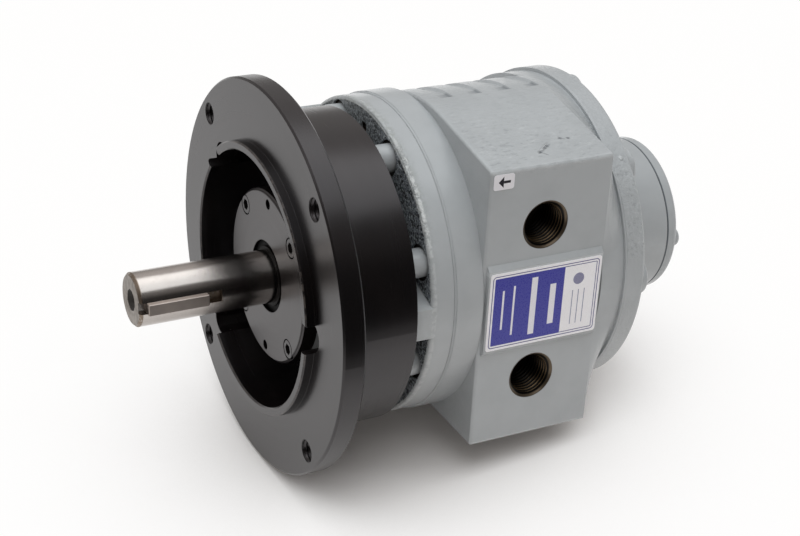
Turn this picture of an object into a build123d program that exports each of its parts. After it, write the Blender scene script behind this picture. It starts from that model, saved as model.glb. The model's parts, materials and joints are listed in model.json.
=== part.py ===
from build123d import *
import os
from math import acos, atan2, cos, degrees, hypot, radians, sin, sqrt

# Rotary vane air motor with a round C-face mounting adaptor.
# Millimetres. The shaft runs along +X and points out of the front, the port face looks along +Y,
# and the origin is the centre of the mounting face.
# The shaft, the adaptor and the bearings share one axis. The casing is turned about the vane
# chamber's axis, which lies to the -Y side of the shaft.

os.makedirs("parts", exist_ok=True)

# Mounting adaptor
flange_r = 82.55
flange_t = 9.525
flange_edge = 0.8
bolt_margin = 7.9375
bolt_count = 4
quarter_turn_start = 45.0
bolt_hole_r = 4.7625
pilot_r = 57.15
pilot_h = 4.0
pilot_edge = 0.6
adaptor_bore_r = 53.5
adaptor_body_r = 66.2
adaptor_length = 39.6
adaptor_web_t = 9.6
access_rim = 8.2
access_angles = (0, 135, 225)

# Fits between pieces
running_gap = 0.08
rotor_gap = 0.3
slip_gap = 0.2
end_gap = 0.05
screw_gap = 0.3
head_gap = 0.4

# Drive end plate and its bearing nose
casing_offset = 5.0
plate_inset = 0.7
plate_t = 10.8
plate_edge = 1.5
hub_h = 8.3
hub_inset = 12.3
web_inner_inset = 18.5
web_inner_cut = 30.5
web_outer_r = 75.0
web_outer_w = 5.0
nose_r = 36.6
nose_face_depth = 11.3
spotface_depth = 1.5
spotface_gap = 1.6

# Seal cap
cap_t = 7.0
cap_edge = 1.0
cap_eye_r = 15.24
cap_lip_t = 1.6
cap_spigot_h = 3.0
cap_screw_circle_r = 32.2
cap_screw_count = 4
jack_hole_r = 2.1
jack_hole_count = 2
jack_hole_angle = 90.0
seal_r = 20.0
seal_t = 6.0
seal_wall = 1.2
cap_screw_grip = 10.0

# Body
body_length = 78.9
body_r = 66.0
body_ring_h = 2.4
body_ring_t = 11.9
body_wall = 15.0
port_face_h = 0.5
block_length = 56.2
block_top_drop = 5.4
block_bottom_rise = 3.4
block_foot_slope = 1.4
block_edge = 1.2
tail_inset = 0.4
shoulder_h = 4.3
pad_h = 2.0
pad_front_inset = 1.6
pad_rear_inset = 0.8
pad_half_z = 18.2
pad_bevel = 2.0
pad_lip = 0.1
port_setback = 27.1
port_r = 9.13
port_depth = 20.0
port_passage_r = 7.6
port_mouth_r = 10.5
port_mouth_depth = 1.4
port_spacing = 68.8
groove_depth = 1.0
groove_w = 6.2
groove_draft = 1.0
groove_pitch = 13.8
groove_count = 4
groove_first = 7.6
groove_start = 90.0
groove_arc = 29.0

# Body screws and dowels
front_screw_inset = 7.5
rear_screw_inset = 6.0
body_screw_count = 8
front_screw_angle = 21.1
rear_screw_angle = 0.0
dowel_count = 2
front_dowel_angle = 88.6
rear_dowel_angle = 112.5
body_screw_grip = 13.4
dowel_r = 2.5
dowel_length = 12.0
dowel_gap = 0.5

# Dead end plate and rear cap
rear_plate_lip = 1.3
rear_plate_t = 10.1
lobe_r = 8.4
lobe_h = 3.3
lobe_edge = 1.2
rear_hub_inset = 15.0
boss_r = 36.0
boss_end_r = 34.6
boss_length = 33.3
rear_counterbore = 8.2
rear_cap_t = 5.2
rear_cap_edge = 1.8
seam_edge = 0.5
rear_spigot_h = 2.0
rear_cap_screw_circle_r = 26.5
rear_cap_screw_count = 3
rear_cap_screw_angle = -3.5
relief_step = 4.0

# Rotor, vanes and shaft
vane_count = 8
vane_t = 4.8
vane_h = 19.0
vane_recess = 0.5
vane_tip_round = 1.9
slot_depth = 21.0
vane_start = 22.5
rotor_shaft_r = 14.5
shaft_tip = 53.975
shaft_r = 11.1125
shaft_tip_edge = 1.0
shaft_shoulder_depth = 5.0
centre_hole_r = 2.4
centre_mouth_r = 4.6
centre_hole_depth = 14.0
key_w = 4.7625
key_length = 25.4
key_setback = 2.8
key_angle = 4.0
keyway_length = 34.2
key_edge = 0.25
rear_shaft_r = 11.0

# Bearings: bore radius, outer radius, width, ball radius and ball count
front_bearing_in_r = 12.5
front_bearing_out_r = 26.0
front_bearing_w = 15.0
front_ball_r = 3.97
front_ball_count = 9
rear_bearing_in_r = 8.5
rear_bearing_out_r = 20.0
rear_bearing_w = 12.0
rear_ball_r = 3.37
rear_ball_count = 8
race_land = 0.35
ball_gap = 0.12
relief = 3.0
ring_t = 1.2
ring_depth = 0.7
ring_height = 3.0
ring_opening = 6.0
spring_t = 1.0

# Screws
large_shank_r = 3.9
large_head_r = 5.95
large_head_h = 7.9
small_shank_r = 2.4
small_head_r = 3.95
small_head_h = 4.8
end_head_r = 4.25
end_head_h = 5.0
head_round = 0.8
small_round = 0.4
end_head_round = 1.6
socket_ratio = 0.53
socket_share = 0.55
shank_end = 0.6
tolerance = 0.01

# Plates stuck on the body
nameplate_length = 52.5
nameplate_height = 34.6
nameplate_t = 0.4
nameplate_corner = 1.2
nameplate_setback = 2.3
tag_length = 9.2
tag_height = 6.4
tag_t = 0.3
tag_corner = 1.0
tag_margin_x = 1.3
tag_margin_z = 0.1

# Stations along the shaft, from the mounting face backwards
x_seat = -adaptor_length
x_web = x_seat + adaptor_web_t
x_plate_front = x_seat - hub_h
x_body_front = x_plate_front - plate_t
x_ring_rear = x_body_front - body_ring_t
x_block_rear = x_ring_rear - block_length
x_body_rear = x_body_front - body_length
x_rear_face = x_body_rear - rear_plate_t
x_lobe = x_rear_face - lobe_h
x_boss_end = x_rear_face - boss_length
x_cap_rear = x_boss_end - rear_cap_t
x_nose = -nose_face_depth
x_cap_face = x_nose + cap_t
x_front_bearing = x_nose - cap_spigot_h
x_front_bearing_rear = x_front_bearing - front_bearing_w
x_rear_bearing_rear = x_boss_end + rear_spigot_h + spring_t
x_rear_bearing = x_rear_bearing_rear + rear_bearing_w
x_spotface = x_plate_front - spotface_depth
x_ports = x_ring_rear - port_setback

# Sizes that follow from the ones above
bolt_circle_r = flange_r - bolt_margin
body_ring_r = body_r + body_ring_h
plate_r = body_ring_r - plate_inset
rear_plate_r = body_ring_r + rear_plate_lip
chamber_r = body_r - body_wall
shoulder_r = body_r + shoulder_h
port_face_y = body_r - casing_offset + port_face_h
block_top_z = body_r - block_top_drop
block_bottom_z = block_bottom_rise - body_r
block_foot_z = block_bottom_z + block_foot_slope
front_screw_circle_r = body_r - front_screw_inset
hub_r = front_screw_circle_r - hub_inset
web_inner_r = front_screw_circle_r - web_inner_inset
web_inner_w = front_screw_circle_r - web_inner_cut
access_circle_r = plate_r - casing_offset - access_rim
rear_screw_circle_r = body_r - rear_screw_inset
rear_hub_r = rear_screw_circle_r - rear_hub_inset
adaptor_screw_length = adaptor_web_t + body_screw_grip - screw_gap
front_screw_length = plate_t - spotface_depth + body_screw_grip - screw_gap
rear_screw_length = rear_plate_t + lobe_h - rear_counterbore + body_screw_grip - screw_gap
cap_screw_length = cap_t - small_head_h + cap_screw_grip - screw_gap
rear_cap_screw_length = rear_cap_t + cap_screw_grip - screw_gap
rotor_r = chamber_r - casing_offset - rotor_gap
tail_r = body_ring_r - tail_inset
access_r = large_head_r + head_gap
spotface_r = large_head_r + spotface_gap
port_z = port_spacing / 2
pad_face_y = port_face_y + pad_h
tag_z = block_top_z - block_edge - tag_margin_z - tag_height / 2
vane_end_gap = 2 * end_gap
shoulder_axis = Axis((0, casing_offset, 0), (1, 0, 0))
shoulder_start = atan2(block_top_z, port_face_y - casing_offset)
shoulder_start = shoulder_start + acos(shoulder_r / hypot(port_face_y - casing_offset, block_top_z))
shoulder_end_y = (body_r**2 - shoulder_r**2) / (4 * casing_offset)
shoulder_end_z = sqrt(body_r**2 - (shoulder_end_y + casing_offset) ** 2)
shoulder_end = atan2(shoulder_end_z, shoulder_end_y - casing_offset)
pad_length = block_length - pad_front_inset - pad_rear_inset
pad_foot_z = pad_half_z + pad_bevel
x_nameplate_mid = x_ring_rear - nameplate_setback - nameplate_length / 2
front_relief_r = front_bearing_out_r - relief_step
rear_relief_r = rear_bearing_out_r - relief_step


def across(x):
    """Plane square to the shaft at x, with its own x along +Y and its own y along +Z."""
    return Plane.YZ.offset(x)


def ring_spots(x, radius, count, start, centre_y=0.0):
    """Points on a circle square to the shaft, from the angle start, counted from +Y towards +Z."""
    angles = [radians(start + 360 * i / count) for i in range(count)]
    return [(x, centre_y + radius * cos(a), radius * sin(a)) for a in angles]


def spots_at(x, radius, angles):
    """Points on a circle about the shaft at the given angles in degrees."""
    return [(x, radius * cos(radians(a)), radius * sin(radians(a))) for a in angles]


def flat(points):
    """The same points as (y, z) pairs for a sketch on a plane square to the shaft."""
    return [(y, z) for x, y, z in points]


def facing_back(points, depth):
    """Placings that turn a screw to face -X, with its seat sunk by a depth below each point."""
    return [Location((x + depth, y, z), (0, 180, 0)) for x, y, z in points]


def cap_screw(shank_r, head_r, head_h, grip, edge):
    """One socket head cap screw along X, with its head's seat at x = 0."""
    socket = head_r * socket_ratio
    with BuildPart() as screw:
        with BuildSketch(Plane.YZ):
            Circle(head_r)
        extrude(amount=head_h)
        fillet(screw.edges().group_by(Axis.X)[-1], edge)
        with BuildSketch(Plane.YZ.offset(head_h)):
            RegularPolygon(socket, 6, major_radius=False)
        extrude(amount=-head_h * socket_share, mode=Mode.SUBTRACT)
        with BuildSketch(Plane.YZ):
            Circle(shank_r)
        extrude(amount=-grip)
        chamfer(screw.edges().group_by(Axis.X)[0], shank_end)
    return screw.part


def large_screw(grip):
    """One of the large screws, which differ only in their length under the head."""
    return cap_screw(large_shank_r, large_head_r, large_head_h, grip, head_round)


def bearing_race(inner_r, outer_r, x_front, width, groove_r, groove_centre_r):
    """A bearing race with a round ball track turned into it."""
    with BuildPart() as race:
        with BuildSketch(Plane.XY):
            with Locations((x_front - width / 2, (inner_r + outer_r) / 2)):
                Rectangle(width, outer_r - inner_r)
            with Locations((x_front - width / 2, groove_centre_r)):
                Circle(groove_r, mode=Mode.SUBTRACT)
        revolve(axis=Axis.X)
    return race.part


def groove_plane(angle):
    """Plane through the shoulder's axis at an angle, with its own x along X and its own y outwards."""
    return Plane(
        origin=(0, casing_offset, 0),
        x_dir=(1, 0, 0),
        z_dir=(0, -sin(radians(angle)), cos(radians(angle))),
    )


def rims(solid, radius):
    """The circular edges of a solid that have the given radius."""
    circles = solid.edges().filter_by(GeomType.CIRCLE)
    return circles.filter_by(lambda e: abs(e.radius - radius) < tolerance)


def tail_spot(angle):
    """Where the port block's tail meets the body's rear face, at an angle about the casing's axis."""
    return (-casing_offset + tail_r * cos(radians(angle)), tail_r * sin(radians(angle)))


def web_corners(angle):
    """Corners of one web of the drive end plate, wider at the hub than at the rim."""
    a = radians(angle)
    corners = [
        (web_inner_r, -web_inner_w / 2),
        (web_outer_r, -web_outer_w / 2),
        (web_outer_r, web_outer_w / 2),
        (web_inner_r, web_inner_w / 2),
    ]
    return [(u * cos(a) - v * sin(a), u * sin(a) + v * cos(a)) for u, v in corners]


def turned_plane(x, angle):
    """Plane square to the shaft at x, with its own x pointing outwards at the given angle."""
    return Plane(
        origin=(x, 0, 0),
        x_dir=(0, cos(radians(angle)), sin(radians(angle))),
        z_dir=(1, 0, 0),
    )


def casing_spots(x, radius, count, start):
    """Points on a circle of body screws or dowels, which is centred on the casing's own axis."""
    return ring_spots(x, radius, count, start, -casing_offset)


front_screw_spots = casing_spots(x_spotface, front_screw_circle_r, body_screw_count, front_screw_angle)
rear_screw_spots = casing_spots(x_lobe, rear_screw_circle_r, body_screw_count, rear_screw_angle)
front_dowel_spots = casing_spots(x_body_front, front_screw_circle_r, dowel_count, front_dowel_angle)
rear_dowel_spots = casing_spots(x_body_rear, rear_screw_circle_r, dowel_count, rear_dowel_angle)
access_spots = spots_at(x_web, access_circle_r, access_angles)
cap_screw_spots = ring_spots(x_cap_face, cap_screw_circle_r, cap_screw_count, quarter_turn_start)
jack_spots = ring_spots(x_cap_face, cap_screw_circle_r, jack_hole_count, jack_hole_angle)
rear_cap_screw_spots = ring_spots(
    x_cap_rear, rear_cap_screw_circle_r, rear_cap_screw_count, rear_cap_screw_angle
)

# Mounting adaptor: a turned flange with a pilot ring and a hollow barrel, and three drilled
# wells that let a wrench reach the screws on its rear web
with BuildPart() as adaptor:
    with BuildSketch(Plane.XY):
        with BuildLine():
            Polyline(
                (pilot_h, adaptor_bore_r),
                (pilot_h, pilot_r),
                (0, pilot_r),
                (0, flange_r),
                (-flange_t, flange_r),
                (-flange_t, adaptor_body_r),
                (x_seat, adaptor_body_r),
                (x_seat, nose_r + slip_gap),
                (x_web, nose_r + slip_gap),
                (x_web, adaptor_bore_r),
                close=True,
            )
        make_face()
    revolve(axis=Axis.X)
    chamfer(rims(adaptor, flange_r), flange_edge)
    ring_top = adaptor.edges().group_by(Axis.X)[-1]
    chamfer(ring_top, pilot_edge)
    with BuildSketch(across(0)):
        with PolarLocations(bolt_circle_r, bolt_count, start_angle=quarter_turn_start):
            Circle(bolt_hole_r)
    extrude(amount=-flange_t, mode=Mode.SUBTRACT)
    with BuildSketch(across(pilot_h)):
        with Locations(*flat(access_spots)):
            Circle(access_r)
    extrude(amount=x_web - pilot_h, mode=Mode.SUBTRACT)
    with BuildSketch(across(x_web)):
        with Locations(*flat(access_spots)):
            Circle(large_shank_r + screw_gap)
    extrude(amount=-adaptor_web_t, mode=Mode.SUBTRACT)
adaptor.part.label = "adaptor"
export_step(adaptor.part, "parts/adaptor.step")

# Screws that hold the adaptor to the drive end plate
adaptor_screw = large_screw(adaptor_screw_length)
with BuildPart() as adaptor_screws:
    with Locations(*access_spots):
        add(adaptor_screw)
adaptor_screws.part.label = "adaptor_screws"
export_step(adaptor_screws.part, "parts/adaptor_screws.step")

# Drive end plate: a turned disc with a rough cast step round its hub, webs out to the rim where
# the adaptor is screwed on, and a long bearing nose
with BuildPart() as drive_end_plate:
    with BuildSketch(across(x_body_front)):
        with Locations((-casing_offset, 0)):
            Circle(plate_r)
    extrude(amount=plate_t)
    fillet(drive_end_plate.edges().group_by(Axis.X)[-1], plate_edge)
    with BuildSketch(across(x_plate_front - plate_edge)):
        Circle(hub_r)
        for angle in access_angles:
            with BuildLine():
                Polyline(*web_corners(angle), close=True)
            make_face()
        with Locations((-casing_offset, 0)):
            Circle(plate_r, mode=Mode.INTERSECT)
    extrude(amount=hub_h + plate_edge)
    with BuildSketch(across(x_seat)):
        Circle(nose_r)
    extrude(amount=x_nose - x_seat)
    with BuildSketch(across(x_nose)):
        Circle(front_bearing_out_r)
    extrude(amount=x_front_bearing_rear - x_nose, mode=Mode.SUBTRACT)
    with BuildSketch(across(x_front_bearing_rear)):
        Circle(front_relief_r)
    extrude(amount=-relief, mode=Mode.SUBTRACT)
    with BuildSketch(across(x_front_bearing_rear)):
        Circle(rotor_shaft_r + slip_gap)
    extrude(amount=x_body_front - x_front_bearing_rear, mode=Mode.SUBTRACT)
    with BuildSketch(across(x_plate_front)):
        with Locations(*flat(front_screw_spots)):
            Circle(spotface_r)
    extrude(amount=-spotface_depth, mode=Mode.SUBTRACT)
    with BuildSketch(across(x_plate_front)):
        with Locations(*flat(front_screw_spots)):
            Circle(large_shank_r + screw_gap)
    extrude(amount=-plate_t, mode=Mode.SUBTRACT)
    with BuildSketch(across(x_seat)):
        with Locations(*flat(access_spots)):
            Circle(large_shank_r)
    extrude(amount=-body_screw_grip, mode=Mode.SUBTRACT)
    with BuildSketch(across(x_nose)):
        with Locations(*flat(cap_screw_spots)):
            Circle(small_shank_r)
    extrude(amount=-cap_screw_grip, mode=Mode.SUBTRACT)
    with BuildSketch(across(x_body_front)):
        with Locations(*flat(front_dowel_spots)):
            Circle(dowel_r)
    extrude(amount=plate_t, mode=Mode.SUBTRACT)
drive_end_plate.part.label = "drive_end_plate"
export_step(drive_end_plate.part, "parts/drive_end_plate.step")

# Seal cap on the bearing nose, with a spigot that holds the outer race and a seat for the seal
with BuildPart() as seal_cap:
    with BuildSketch(Plane.XY):
        with BuildLine():
            Polyline(
                (x_cap_face, cap_eye_r),
                (x_cap_face, nose_r),
                (x_nose, nose_r),
                (x_nose, front_bearing_out_r),
                (x_front_bearing, front_bearing_out_r),
                (x_front_bearing, seal_r),
                (x_cap_face - cap_lip_t, seal_r),
                (x_cap_face - cap_lip_t, cap_eye_r),
                close=True,
            )
        make_face()
    revolve(axis=Axis.X)
    chamfer(rims(seal_cap, nose_r).group_by(Axis.X)[-1], cap_edge)
    with BuildSketch(across(x_cap_face)):
        with Locations(*flat(cap_screw_spots)):
            Circle(small_head_r + head_gap)
    extrude(amount=-small_head_h, mode=Mode.SUBTRACT)
    with BuildSketch(across(x_cap_face)):
        with Locations(*flat(cap_screw_spots)):
            Circle(small_shank_r + screw_gap)
        with Locations(*flat(jack_spots)):
            Circle(jack_hole_r)
    extrude(amount=-cap_t, mode=Mode.SUBTRACT)
seal_cap.part.label = "seal_cap"
export_step(seal_cap.part, "parts/seal_cap.step")

# Screws of the seal cap, with their heads level with its face
seal_cap_screw = cap_screw(small_shank_r, small_head_r, small_head_h, cap_screw_length, small_round)
with BuildPart() as seal_cap_screws:
    with Locations(*[(x - small_head_h, y, z) for x, y, z in cap_screw_spots]):
        add(seal_cap_screw)
seal_cap_screws.part.label = "seal_cap_screws"
export_step(seal_cap_screws.part, "parts/seal_cap_screws.step")

# Lip seal in the cap: a channel-shaped ring whose inner lip runs on the shaft
with BuildPart() as shaft_seal:
    with BuildSketch(Plane.XY):
        with BuildLine():
            Polyline(
                (x_cap_face - cap_lip_t, front_bearing_in_r + running_gap),
                (x_cap_face - cap_lip_t, seal_r),
                (x_cap_face - cap_lip_t - seal_t, seal_r),
                (x_cap_face - cap_lip_t - seal_t, seal_r - seal_wall),
                (x_cap_face - cap_lip_t - seal_wall, seal_r - seal_wall),
                (x_cap_face - cap_lip_t - seal_wall, front_bearing_in_r + 2 * seal_wall),
                (x_cap_face - cap_lip_t - seal_t + seal_wall, front_bearing_in_r + seal_wall),
                (x_cap_face - cap_lip_t - seal_t + seal_wall, front_bearing_in_r + running_gap),
                close=True,
            )
        make_face()
    revolve(axis=Axis.X)
shaft_seal.part.label = "shaft_seal"
export_step(shaft_seal.part, "parts/shaft_seal.step")

# Port block: its top slopes up to a shoulder, and behind the port face a tail falls away to the
# body's rear ring
with BuildPart() as port_block:
    with BuildSketch(across(x_block_rear)) as block_outline:
        with BuildLine():
            sweep = degrees(shoulder_end - shoulder_start)
            shoulder = CenterArc((casing_offset, 0), shoulder_r, degrees(shoulder_start), sweep)
            Polyline(
                shoulder @ 1,
                (-casing_offset, 0),
                (0, block_foot_z),
                (port_face_y, block_bottom_z),
                (port_face_y, block_top_z),
                shoulder @ 0,
            )
        make_face()
        fillet(block_outline.vertices().group_by(Axis.X)[-1], block_edge)
    extrude(amount=block_length)
    front_outline = port_block.edges().group_by(Axis.X)[-1]
    middle = (x_ring_rear, -casing_offset, 0)
    fillet(front_outline.filter_by(lambda e: e.distance_to(middle) > tolerance), block_edge)
    corners = [(v.X + casing_offset, v.Y) for v in block_outline.vertices()]
    corner_angles = sorted(degrees(atan2(z, y)) for y, z in corners if hypot(y, z) > tolerance)
    with BuildSketch(across(x_body_rear)) as tail_outline:
        with BuildLine():
            for first, last in zip(corner_angles, corner_angles[1:]):
                CenterArc((-casing_offset, 0), tail_r, first, last - first)
            Polyline(
                tail_spot(corner_angles[-1]),
                (-casing_offset, 0),
                tail_spot(corner_angles[0]),
            )
        make_face()
    loft([block_outline.sketch, tail_outline.sketch], ruled=True)

# Body: a cast cylinder with a turned ring at each end, the port block with a raised pad, and short
# cored grooves where the block's shoulder falls away
with BuildPart() as body:
    with BuildSketch(across(x_body_rear)):
        with Locations((-casing_offset, 0)):
            Circle(body_r)
    extrude(amount=body_length)
    with BuildSketch(across(x_body_front)):
        with Locations((-casing_offset, 0)):
            Circle(body_ring_r)
    extrude(amount=-body_ring_t)
    with BuildSketch(across(x_body_rear)):
        with Locations((-casing_offset, 0)):
            Circle(body_ring_r)
    extrude(amount=x_block_rear - x_body_rear)
    add(port_block.part)
    with BuildSketch(across(x_block_rear + pad_rear_inset)):
        with BuildLine():
            Polyline(
                (port_face_y - block_edge, -pad_foot_z),
                (port_face_y + pad_lip, -pad_foot_z),
                (pad_face_y, -pad_half_z),
                (pad_face_y, pad_half_z),
                (port_face_y + pad_lip, pad_foot_z),
                (port_face_y - block_edge, pad_foot_z),
                close=True,
            )
        make_face()
    extrude(amount=pad_length)
    with BuildSketch(across(x_body_rear)):
        with Locations((-casing_offset, 0)):
            Circle(chamber_r)
    extrude(amount=body_length, mode=Mode.SUBTRACT)
    with BuildSketch(Plane.XZ.offset(-port_face_y)):
        with Locations((x_ports, port_z), (x_ports, -port_z)):
            Circle(port_r)
    extrude(amount=port_depth, mode=Mode.SUBTRACT)
    with BuildSketch(Plane.XZ.offset(-port_face_y)):
        with Locations((x_ports, port_z), (x_ports, -port_z)):
            Circle(port_passage_r)
    extrude(amount=port_face_y, mode=Mode.SUBTRACT)
    chamfer(rims(body, port_r).group_by(Axis.Y)[-1], port_mouth_depth, port_mouth_r - port_r)
    with BuildSketch(across(x_body_front)):
        with Locations(*flat(front_screw_spots)):
            Circle(large_shank_r)
    extrude(amount=-body_screw_grip, mode=Mode.SUBTRACT)
    with BuildSketch(across(x_body_rear)):
        with Locations(*flat(rear_screw_spots)):
            Circle(large_shank_r)
    extrude(amount=body_screw_grip, mode=Mode.SUBTRACT)
    with BuildSketch(across(x_body_front)):
        with Locations(*flat(front_dowel_spots)):
            Circle(dowel_r)
    extrude(amount=-dowel_length / 2 - dowel_gap, mode=Mode.SUBTRACT)
    with BuildSketch(across(x_body_rear)):
        with Locations(*flat(rear_dowel_spots)):
            Circle(dowel_r)
    extrude(amount=dowel_length / 2 + dowel_gap, mode=Mode.SUBTRACT)
    for i in range(groove_count):
        x_groove = x_ring_rear - groove_first - i * groove_pitch
        with BuildSketch(groove_plane(groove_start)):
            with BuildLine():
                Polyline(
                    (x_groove - groove_draft, shoulder_r - groove_depth),
                    (x_groove + groove_draft, shoulder_r + groove_depth),
                    (x_groove - groove_w - groove_draft, shoulder_r + groove_depth),
                    (x_groove - groove_w + groove_draft, shoulder_r - groove_depth),
                    close=True,
                )
            make_face()
        revolve(axis=shoulder_axis, revolution_arc=groove_arc, mode=Mode.SUBTRACT)
body.part.label = "body"
export_step(body.part, "parts/body.step")

# Screws that hold the drive end plate to the body
front_body_screw = large_screw(front_screw_length)
with BuildPart() as front_body_screws:
    with Locations(*front_screw_spots):
        add(front_body_screw)
front_body_screws.part.label = "front_body_screws"
export_step(front_body_screws.part, "parts/front_body_screws.step")

# Dead end plate: a disc with a scalloped ring of screw bosses and a drafted bearing boss
with BuildPart() as dead_end_plate:
    with BuildSketch(across(x_rear_face)):
        with Locations((-casing_offset, 0)):
            Circle(rear_plate_r)
    extrude(amount=rear_plate_t)
    fillet(dead_end_plate.edges().group_by(Axis.X)[0], plate_edge)
    with BuildSketch(across(x_rear_face + plate_edge)):
        Circle(rear_hub_r)
        with Locations(*flat(rear_screw_spots)):
            Circle(lobe_r)
    extrude(amount=-lobe_h - plate_edge)
    fillet(rims(dead_end_plate, lobe_r).group_by(Axis.X)[0], lobe_edge)
    with BuildSketch(across(x_lobe)):
        Circle(boss_r)
    with BuildSketch(across(x_boss_end)):
        Circle(boss_end_r)
    loft()
    chamfer(rims(dead_end_plate, boss_end_r), seam_edge)
    with BuildSketch(across(x_boss_end)):
        Circle(rear_bearing_out_r)
    extrude(amount=x_rear_bearing - x_boss_end, mode=Mode.SUBTRACT)
    with BuildSketch(across(x_rear_bearing)):
        Circle(rear_relief_r)
    extrude(amount=relief, mode=Mode.SUBTRACT)
    with BuildSketch(across(x_rear_bearing)):
        Circle(rear_shaft_r + slip_gap)
    extrude(amount=x_body_rear - x_rear_bearing, mode=Mode.SUBTRACT)
    with BuildSketch(across(x_lobe)):
        with Locations(*flat(rear_screw_spots)):
            Circle(large_shank_r + screw_gap)
    extrude(amount=x_body_rear - x_lobe, mode=Mode.SUBTRACT)
    with BuildSketch(across(x_lobe)):
        with Locations(*flat(rear_screw_spots)):
            Circle(large_head_r + head_gap)
    extrude(amount=rear_counterbore, mode=Mode.SUBTRACT)
    with BuildSketch(across(x_boss_end)):
        with Locations(*flat(rear_cap_screw_spots)):
            Circle(small_shank_r)
    extrude(amount=cap_screw_grip, mode=Mode.SUBTRACT)
    with BuildSketch(across(x_body_rear)):
        with Locations(*flat(rear_dowel_spots)):
            Circle(dowel_r)
    extrude(amount=-dowel_length / 2, mode=Mode.SUBTRACT)
dead_end_plate.part.label = "dead_end_plate"
export_step(dead_end_plate.part, "parts/dead_end_plate.step")

# Screws that hold the dead end plate, with their heads sunk in the screw bosses
rear_body_screw = large_screw(rear_screw_length)
with BuildPart() as rear_body_screws:
    with Locations(*facing_back(rear_screw_spots, rear_counterbore)):
        add(rear_body_screw)
rear_body_screws.part.label = "rear_body_screws"
export_step(rear_body_screws.part, "parts/rear_body_screws.step")

# Dowel pins that line the end plates up with the body
with BuildPart() as dowel_pins:
    with BuildSketch(across(x_body_front)):
        with Locations(*flat(front_dowel_spots)):
            Circle(dowel_r)
    extrude(amount=dowel_length / 2, both=True)
    with BuildSketch(across(x_body_rear)):
        with Locations(*flat(rear_dowel_spots)):
            Circle(dowel_r)
    extrude(amount=dowel_length / 2, both=True)
dowel_pins.part.label = "dowel_pins"
export_step(dowel_pins.part, "parts/dowel_pins.step")

# Rear cap over the bearing, with a spigot that presses on the spring washer
with BuildPart() as rear_cap:
    with BuildSketch(across(x_cap_rear)):
        Circle(boss_end_r)
    extrude(amount=rear_cap_t)
    fillet(rear_cap.edges().group_by(Axis.X)[0], rear_cap_edge)
    chamfer(rims(rear_cap, boss_end_r), seam_edge)
    with BuildSketch(across(x_boss_end)):
        Circle(rear_bearing_out_r)
        Circle(rear_relief_r, mode=Mode.SUBTRACT)
    extrude(amount=rear_spigot_h)
    with BuildSketch(across(x_cap_rear)):
        with Locations(*flat(rear_cap_screw_spots)):
            Circle(small_shank_r + screw_gap)
    extrude(amount=rear_cap_t, mode=Mode.SUBTRACT)
rear_cap.part.label = "rear_cap"
export_step(rear_cap.part, "parts/rear_cap.step")

# Round-headed screws of the rear cap
rear_cap_screw = cap_screw(small_shank_r, end_head_r, end_head_h, rear_cap_screw_length, end_head_round)
with BuildPart() as rear_cap_screws:
    with Locations(*facing_back(rear_cap_screw_spots, 0)):
        add(rear_cap_screw)
rear_cap_screws.part.label = "rear_cap_screws"
export_step(rear_cap_screws.part, "parts/rear_cap_screws.step")

# Spring washer that preloads the rear bearing
with BuildPart() as spring_washer:
    with BuildSketch(across(x_rear_bearing_rear)):
        Circle(rear_bearing_out_r - slip_gap)
        Circle(rear_relief_r, mode=Mode.SUBTRACT)
    extrude(amount=-spring_t)
spring_washer.part.label = "spring_washer"
export_step(spring_washer.part, "parts/spring_washer.step")

# Ball bearings: an outer race, an inner race and the balls for each end
front_bearing = (x_front_bearing, front_bearing_w, front_bearing_in_r, front_bearing_out_r)
rear_bearing = (x_rear_bearing, rear_bearing_w, rear_bearing_in_r, rear_bearing_out_r)
bearings = [
    ("drive_bearing", front_bearing, front_ball_r, front_ball_count),
    ("rear_bearing", rear_bearing, rear_ball_r, rear_ball_count),
]
for name, (x_front, width, in_r, out_r), ball_r, ball_count in bearings:
    pitch_r = (in_r + out_r) / 2
    land = ball_r * race_land
    outer_race = bearing_race(pitch_r + ball_r - land, out_r, x_front, width, ball_r + ball_gap, pitch_r)
    outer_race.label = name + "_outer_race"
    export_step(outer_race, "parts/" + outer_race.label + ".step")
    inner_race = bearing_race(in_r, pitch_r - ball_r + land, x_front, width, ball_r + ball_gap, pitch_r)
    inner_race.label = name + "_inner_race"
    export_step(inner_race, "parts/" + inner_race.label + ".step")
    with BuildPart() as balls:
        with Locations(*ring_spots(x_front - width / 2, pitch_r, ball_count, 0)):
            Sphere(ball_r)
    balls.part.label = name + "_balls"
    export_step(balls.part, "parts/" + balls.part.label + ".step")

# Rotor: a cylinder with a radial slot for each vane
with BuildPart() as rotor:
    with BuildSketch(across(x_body_rear + end_gap)):
        Circle(rotor_r)
        Circle(rotor_shaft_r, mode=Mode.SUBTRACT)
        with PolarLocations(rotor_r - slot_depth / 2, vane_count, start_angle=vane_start):
            Rectangle(slot_depth, vane_t + 2 * running_gap, mode=Mode.SUBTRACT)
    extrude(amount=body_length - 2 * end_gap)
rotor.part.label = "rotor"
export_step(rotor.part, "parts/rotor.step")

# Vanes: flat blades with a rounded outer edge, pushed in flush with the rotor
for i in range(vane_count):
    with BuildPart() as vane:
        vane_plane = turned_plane(x_body_rear + vane_end_gap, vane_start + 360 * i / vane_count)
        with BuildSketch(vane_plane) as outline:
            with Locations((rotor_r - vane_recess - vane_h / 2, 0)):
                Rectangle(vane_h, vane_t)
            fillet(outline.vertices().group_by(Axis.X)[-1], vane_tip_round)
        extrude(amount=body_length - 2 * vane_end_gap)
    vane.part.label = "vane_" + str(i + 1)
    export_step(vane.part, "parts/" + vane.part.label + ".step")

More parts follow.
